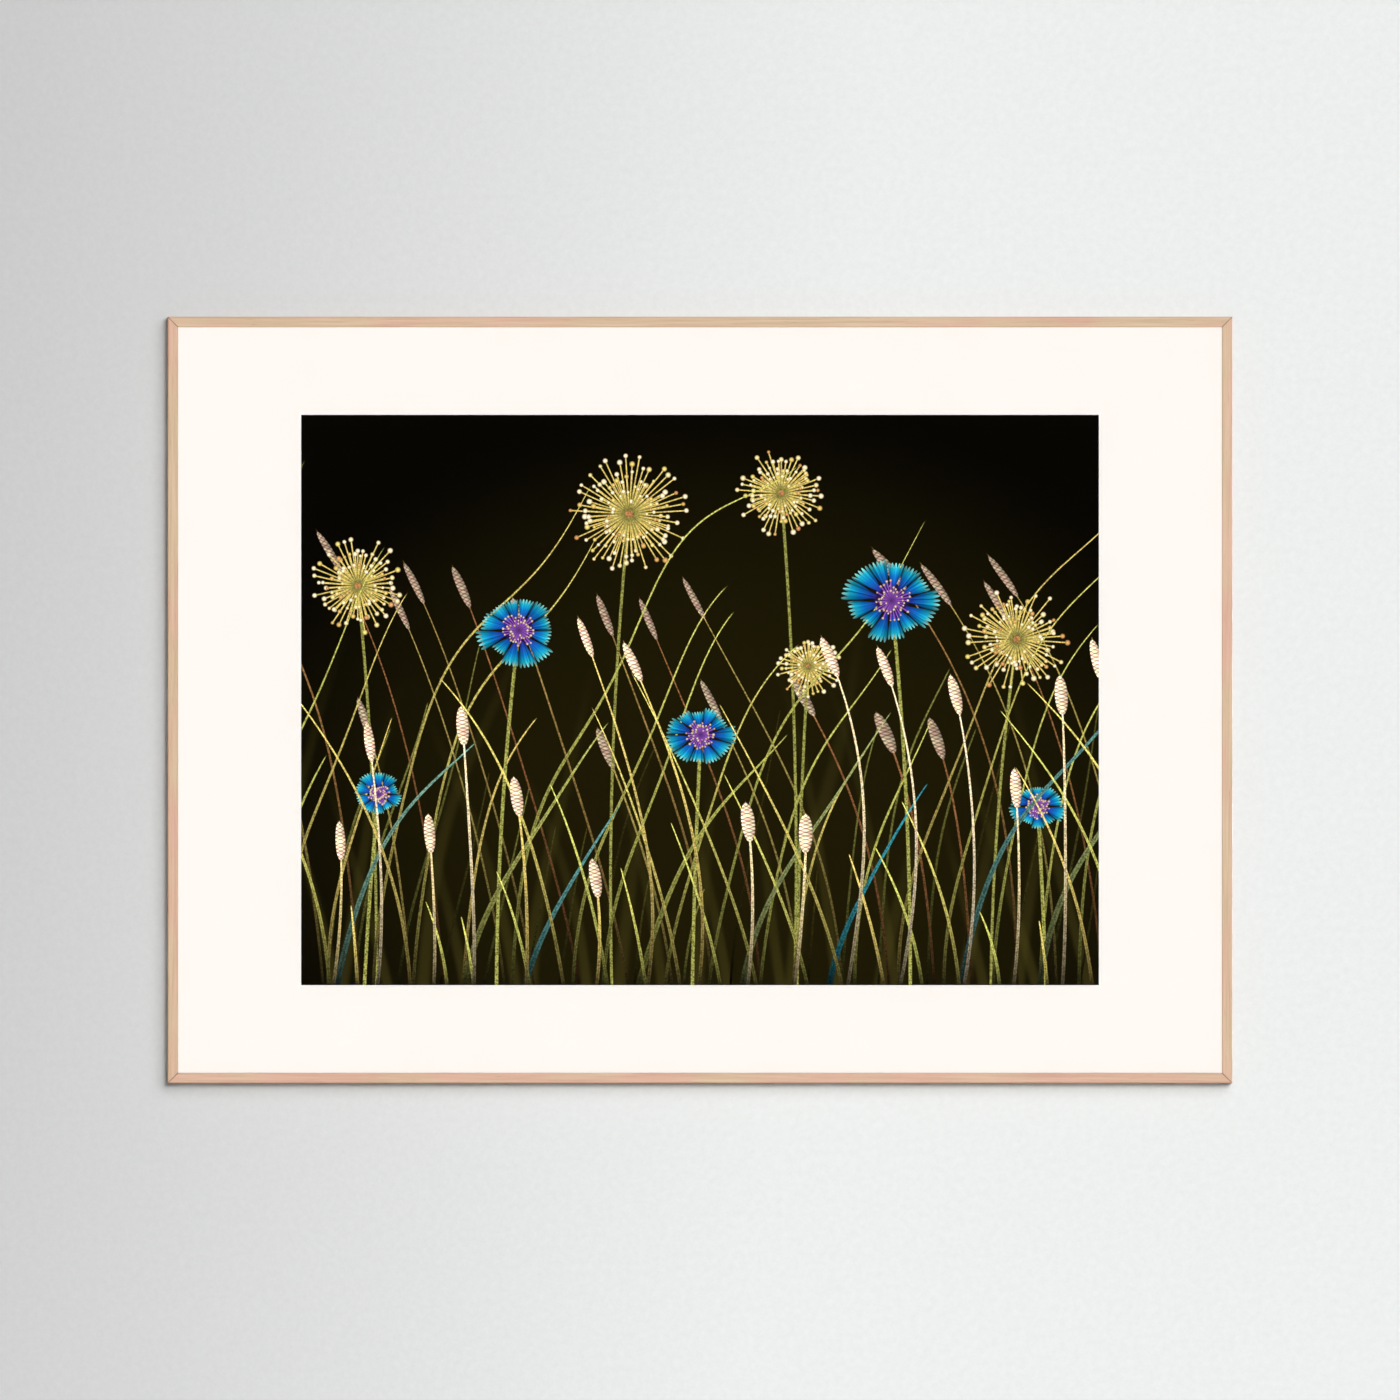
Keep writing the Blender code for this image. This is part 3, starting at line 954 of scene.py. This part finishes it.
def lay_umbel(design, values):
    x, z, radius, rays, lean, seed, bead = values
    for share, ray_share, bead_share in UMBEL_RINGS:
        values = (x, z, radius * share, round(rays * ray_share), lean, seed + share, bead * bead_share)
        ring = design.use(umbel_group, UMBEL_KEYS, values)
        if share == 1.0:
            design.lay(shade(LIME, design.glint * 0.7 + 0.15), ring["Stalk"])
        ray_light = (design.glint * 0.9 + 0.75) * (ring["Reach"].step(0.0, 0.7) * 0.8 + 0.2)
        ray_colour = blend(LIME, GOLD, ring["Reach"].step(0.0, 0.5))
        design.lay(shade(ray_colour, ray_light), ring["Rays"])
        beads = shade(ramp(ring["Tone"], *BEAD_TONES), ring["Shine"] * 1.2 + 0.65)
        design.lay(beads, ring["Beads"])
    design.lay(shade(COPPER, design.glint + 0.5), ring["Reach"].step(0.16, 0.11))


print(len(FLOWERS), "flowers and", len(UMBELS), "seed heads")

# %% [markdown]
# Now the layers are laid in their order, once for each band, on paper with a faint satin sheen.

# %% Print the bands
def print_design(tree, band):
    """The colour of one band of the sheet."""
    design = Design(tree, band)
    umbels = [values for values in UMBELS if design.holds(values[0], values[2])]
    flowers = [values for values in FLOWERS if design.holds(values[0], values[2])]
    lay_glow(design)
    lay_soft_stems(design)
    lay_stems(design, BACK_STEMS)
    for values in umbels:
        lay_umbel(design, values)
    lay_stems(design, MIDDLE_STEMS)
    for values in flowers:
        lay_flower(design, values)
    lay_stems(design, FRONT_STEMS)
    print("band", band, "has", len(umbels), "seed heads and", len(flowers), "flowers")
    return design.colour


def printed_paper(band):
    material, tree, shader = new_material(f"printed_paper_{band}", roughness=0.45)
    connect(print_design(tree, band), shader.inputs["Base Color"])
    shader.inputs["Specular IOR Level"].default_value = 0.1
    fibres = use_group(tree, paper_fibres, {"Place": object_place(tree)})
    connect(fibres["Tone"] * 0.1 + 0.42, shader.inputs["Roughness"])
    add_bump(tree, shader, fibres["Height"], strength=0.1, distance=0.00004)
    return material


printed_bands = [printed_paper(band) for band in range(BANDS)]

# %% [markdown]
# The sheet is a thin slab, cut across where the bands meet. Its front gets nearly the whole texture map, so
# that fine lines stay sharp when the model is exported, and the plain back and edges share a strip at the
# bottom. An automatic unwrap would give the plain back as much of the map as the front.

# %% Make the sheet
BAKE_MAP = "OFBake"
MAP_MARGIN = 0.004
FRONT_FLOOR = 0.06
PATCH_PITCH = 0.16
PATCH_SIZE = (0.14, 0.035)
PATCH_CORNER = (0.02, 0.01)


def map_place(axis, facing_out, front, across, up):
    """A point's place on the texture map: on the large print, or on the patch of a plain side."""
    if front:
        height = 1.0 - MAP_MARGIN - FRONT_FLOOR
        return MAP_MARGIN + (1.0 - 2.0 * MAP_MARGIN) * across, FRONT_FLOOR + height * up
    from_left = PATCH_CORNER[0] + (2 * axis + facing_out) * PATCH_PITCH
    return from_left + PATCH_SIZE[0] * across, PATCH_CORNER[1] + PATCH_SIZE[1] * up


def make_print(printed, plain):
    size = sheet_high - sheet_low
    bm = bmesh.new()
    middle = Matrix.Translation((sheet_low + sheet_high) / 2)
    bmesh.ops.create_cube(bm, size=1.0, matrix=middle @ Matrix.Diagonal((*size, 1.0)))
    for edge in BAND_EDGES[1:-1]:
        whole = bm.verts[:] + bm.edges[:] + bm.faces[:]
        bmesh.ops.bisect_plane(bm, geom=whole, plane_co=(edge, 0, 0), plane_no=(1, 0, 0))
    bm.normal_update()
    layer = bm.loops.layers.uv.new(BAKE_MAP)
    for face in bm.faces:
        axis = max(range(3), key=lambda number: abs(face.normal[number]))
        first, second = (other for other in range(3) if other != axis)
        front = face.normal.y < -0.5
        band = int((face.calc_center_median().x - sheet_low.x) / size.x * BANDS)
        face.material_index = band if front else len(printed)
        for loop in face.loops:
            place = loop.vert.co - sheet_low
            across, up = place[first] / size[first], place[second] / size[second]
            loop[layer].uv = map_place(axis, face.normal[axis] > 0, front, across, up)
    return finish_piece(bm, "print", [*printed, plain])


plain_paper = mat_paper("plain_paper", low_tone=(0.80, 0.79, 0.76), high_tone=(0.84, 0.83, 0.80))
sheet = make_print(printed_bands, plain_paper)
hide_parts("print_sheet")
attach(sheet, "root")
print("print:", len(sheet.data.polygons), "faces")

# %% [markdown]
# ## Backing board
# The back is closed with hardboard: pressed brown fibres, with the marks of the mesh it was pressed on.
# They are a fraction of a millimetre deep, so they are bump and not shape: two sine waves that cross.

# %% Hardboard
MESH_PITCH = 0.0012
CLUMPS = {"scale": 25.0}
PRESSED_FIBRES = {"scale": 700.0, "detail": 4.0, "roughness": 0.7}
FLECKS = {"scale": 1900.0, "detail": 1.0, "stretch": (0.35, 1.0, 1.0)}
FLECK_TONE = (0.47, 0.34, 0.21)
BOARD_BROWNS = (
    (0.30, (0.185, 0.105, 0.052)),
    (0.50, (0.285, 0.172, 0.092)),
    (0.70, (0.37, 0.24, 0.135)),
)


def hardboard():
    material, tree, shader = new_material("hardboard", roughness=0.85)
    place = object_place(tree)
    x, _, z = place.parts()
    clumps = noise(place, **CLUMPS)
    fibres = noise(place, **PRESSED_FIBRES)
    flecks = noise(place, **FLECKS).step(0.60, 0.72)
    colour = ramp(clumps * 0.18 + fibres * 0.82, *BOARD_BROWNS)
    connect(blend(colour, FLECK_TONE, flecks * 0.6), shader.inputs["Base Color"])
    turns = 2.0 * math.pi / MESH_PITCH
    weave = (x * turns).math("SINE") * (z * turns).math("SINE")
    connect(fibres * 0.15 + 0.76, shader.inputs["Roughness"])
    add_bump(tree, shader, weave * 0.5 + fibres, strength=0.5, distance=0.0002)
    return material


dress("backing_board", hardboard())
print("backing board in hardboard")

# %% [markdown]
# ## Steel
# Points, hangers and rivets are zinc-plated steel: a cool grey with a soft brushed sheen, duller in spots.
# They come from one box of fittings, so one material serves them all, on the solids as they are.

# %% Zinc-plated steel
BRUSHING = {"scale": 5200.0, "stretch": (0.05, 1.0, 1.0)}
BLOTCHES = {"scale": 420.0}
ZINC_GREYS = ((0.30, (0.47, 0.475, 0.48)), (0.70, (0.68, 0.685, 0.68)))


def zinc_steel():
    material, tree, shader = new_material("zinc_plated_steel", roughness=0.34, metallic=1.0)
    place = object_place(tree)
    brushed = noise(place, **BRUSHING)
    blotches = noise(place, **BLOTCHES)
    connect(ramp(brushed * 0.4 + blotches * 0.6, *ZINC_GREYS), shader.inputs["Base Color"])
    connect(blotches * 0.25 + brushed * 0.12 + 0.18, shader.inputs["Roughness"])
    add_bump(tree, shader, brushed, strength=0.15, distance=0.00005)
    return material


steel = zinc_steel()
steel_nodes = [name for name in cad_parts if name.startswith(("point_", "hanger_", "rivet_"))]
for name in steel_nodes:
    dress(name, steel)
print(len(steel_nodes), "steel pieces")

# %% [markdown]
# ## Wall and floor
# The wall is pale and a little darker to the left, where the light falls off. A lamp's own fall-off would
# shade the rails too, so it is in the paint. Wall and floor are one face each and clear from behind, so
# that the picture can be looked at from the back and from below.

# %% Wall and floor
WALL_SIZE = 8.0
WALL_GAP = 0.0004
WALL_TILT = 0.10
WALL_TONES = (
    (0.053, (0.604, 0.604, 0.604)),
    (0.203, (0.672, 0.680, 0.676)),
    (0.339, (0.742, 0.752, 0.747)),
    (0.458, (0.806, 0.820, 0.813)),
    (0.570, (0.852, 0.868, 0.860)),
    (0.640, (0.858, 0.874, 0.866)),
)
PLASTER = {"scale": 220.0, "detail": 3.0, "roughness": 0.75}
FLOOR_DROP = 2.0
FLOOR_LIFT = 1.5
FLOOR_GREYS = ((0.3, (0.34, 0.34, 0.33)), (0.7, (0.38, 0.38, 0.37)))


def add_stage_plane(name, place, material):
    bm = bmesh.new()
    bmesh.ops.create_grid(bm, x_segments=1, y_segments=1, size=WALL_SIZE / 2, matrix=place)
    plane = add_mesh(bm, name, [material])
    plane.visible_glossy = False
    return plane


def clear_from_behind(tree, shader):
    geometry = tree.nodes.new("ShaderNodeNewGeometry")
    mix_with_clear(tree, shader, geometry.outputs["Backfacing"])


def wall_paint():
    material, tree, shader = new_material("wall_paint", roughness=0.9)
    place = object_place(tree)
    x, _, z = place.parts()
    across = (x - MIDDLE.x - (z - MIDDLE.z) * WALL_TILT) / VIEW_WIDTH
    colour = ramp((across + 0.6) / 1.2, *WALL_TONES)
    plaster = noise(place, **PLASTER)
    connect(shade(colour, plaster * 0.14 + 0.93), shader.inputs["Base Color"])
    shader.inputs["Specular IOR Level"].default_value = 0.1
    add_bump(tree, shader, plaster, strength=0.15, distance=0.0002)
    clear_from_behind(tree, shader)
    return material


def floor_paint():
    """The lamps only graze the floor, so it is lifted in brightness for the camera."""
    material, tree, shader = new_material("floor_paint", roughness=0.8)
    colour = ramp(noise(object_place(tree), scale=3.0, detail=3.0), *FLOOR_GREYS)
    connect(colour, shader.inputs["Base Color"])
    connect(colour, shader.inputs["Emission Color"])
    light_path = tree.nodes.new("ShaderNodeLightPath")
    connect(Signal(light_path.outputs["Is Camera Ray"]) * FLOOR_LIFT, shader.inputs["Emission Strength"])
    clear_from_behind(tree, shader)
    return material


facing_front = Matrix.Rotation(math.radians(90), 4, "X")
wall_place = Matrix.Translation((MIDDLE.x, frame_high.y + WALL_GAP, MIDDLE.z)) @ facing_front
wall = add_stage_plane("wall", wall_place, wall_paint())
wall.visible_shadow = False
floor_place = Matrix.Translation((MIDDLE.x, frame_high.y - WALL_SIZE / 2, MIDDLE.z - FLOOR_DROP))
floor = add_stage_plane("floor", floor_place, floor_paint())
print("wall and floor,", WALL_SIZE, "m wide")

# %% [markdown]
# ## Lamps
# Area lamps would light the wall unevenly, so the light comes from sun lamps, whose angle sets how soft a
# shadow's edge is. Two of them stand high on the right: their light slants past the rails and leaves the
# short soft shadow at the left and below. A third stands behind the wall and lights the picture's back. A
# frontal one lights only the mat and the print, so that the rails throw no shadow on the mat. Each piece is
# in one set of lit pieces only, because Cycles can lose a lamp of a piece that is in two. The rails return
# no light to what is round them, or they would tint the mat's edge and the wall.

# %% Lamps
# Tangent to the right and up, angle, strength
KEY = ((0.122, 0.120), 0.18, 1.441)
WIDE = ((0.31, 0.30), 0.58, 1.556)
BACK = ((0.55, -0.05), 0.15, 2.5)
FRONT = ((0.0, 0.0), 0.03, 3.82)


def lit_pieces(name, pieces):
    """The pieces that some of the lamps light."""
    collection = bpy.data.collections.new(name)
    for piece in pieces:
        collection.objects.link(piece)
    return collection


def add_sun(name, numbers, receivers, side=-1.0):
    """A lamp that lights only the receivers, from the front or, with side 1, from behind."""
    tangent, angle, strength = numbers
    data = bpy.data.lights.new(name, "SUN")
    data.energy = strength
    data.angle = angle
    lamp = add_object(name, data)
    towards = Vector((tangent[0], side, tangent[1]))
    lamp.rotation_euler = towards.to_track_quat("Z", "Y").to_euler()
    lamp.light_linking.receiver_collection = receivers
    return lamp


BEHIND_LIP = ("glazing", "mat_board", "print_sheet")
solids = [node for name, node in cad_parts.items() if name not in BEHIND_LIP]
outer_pieces = lit_pieces("outer_pieces", [wall, floor, glue, *solids])
inner_pieces = lit_pieces("inner_pieces", [mat, sheet])
add_sun("key", KEY, outer_pieces)
add_sun("wide", WIDE, outer_pieces)
add_sun("back", BACK, outer_pieces, side=1.0)
front_lamp = add_sun("front", FRONT, inner_pieces)
front_lamp.visible_glossy = False
for rail in RAILS:
    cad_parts[rail].visible_diffuse = False
print("four lamps")

# %% [markdown]
# The room is dim behind the camera, so that the pane stays clear, brighter at the sides and brightest
# behind the wall, where the steel mirrors it. The camera itself sees it pale all round, like the wall.

# %% Room
ROOM_TINT = (0.95, 0.97, 1.0)
ROOM_LEVEL = 0.006
SIDE_LEVEL = 0.075
BACK_LEVEL = 0.40
SEEN_LEVEL = 0.80


def studio_world():
    world = bpy.data.worlds.new("studio")
    bpy.context.scene.world = world
    world.use_nodes = True
    tree = world.node_tree
    source = tree.nodes.new("ShaderNodeTexCoord")
    _, depth, _ = Signal(source.outputs["Generated"]).parts()
    level = depth.step(-0.9, -0.4) * SIDE_LEVEL + depth.step(0.0, 0.3) * BACK_LEVEL + ROOM_LEVEL
    light_path = tree.nodes.new("ShaderNodeLightPath")
    level = level.math("MAXIMUM", Signal(light_path.outputs["Is Camera Ray"]) * SEEN_LEVEL)
    background = tree.nodes["Background"]
    connect(ROOM_TINT, background.inputs["Color"])
    connect(level, background.inputs["Strength"])


studio_world()
bpy.context.scene.view_settings.view_transform = "Standard"
print("room is dim behind the camera")
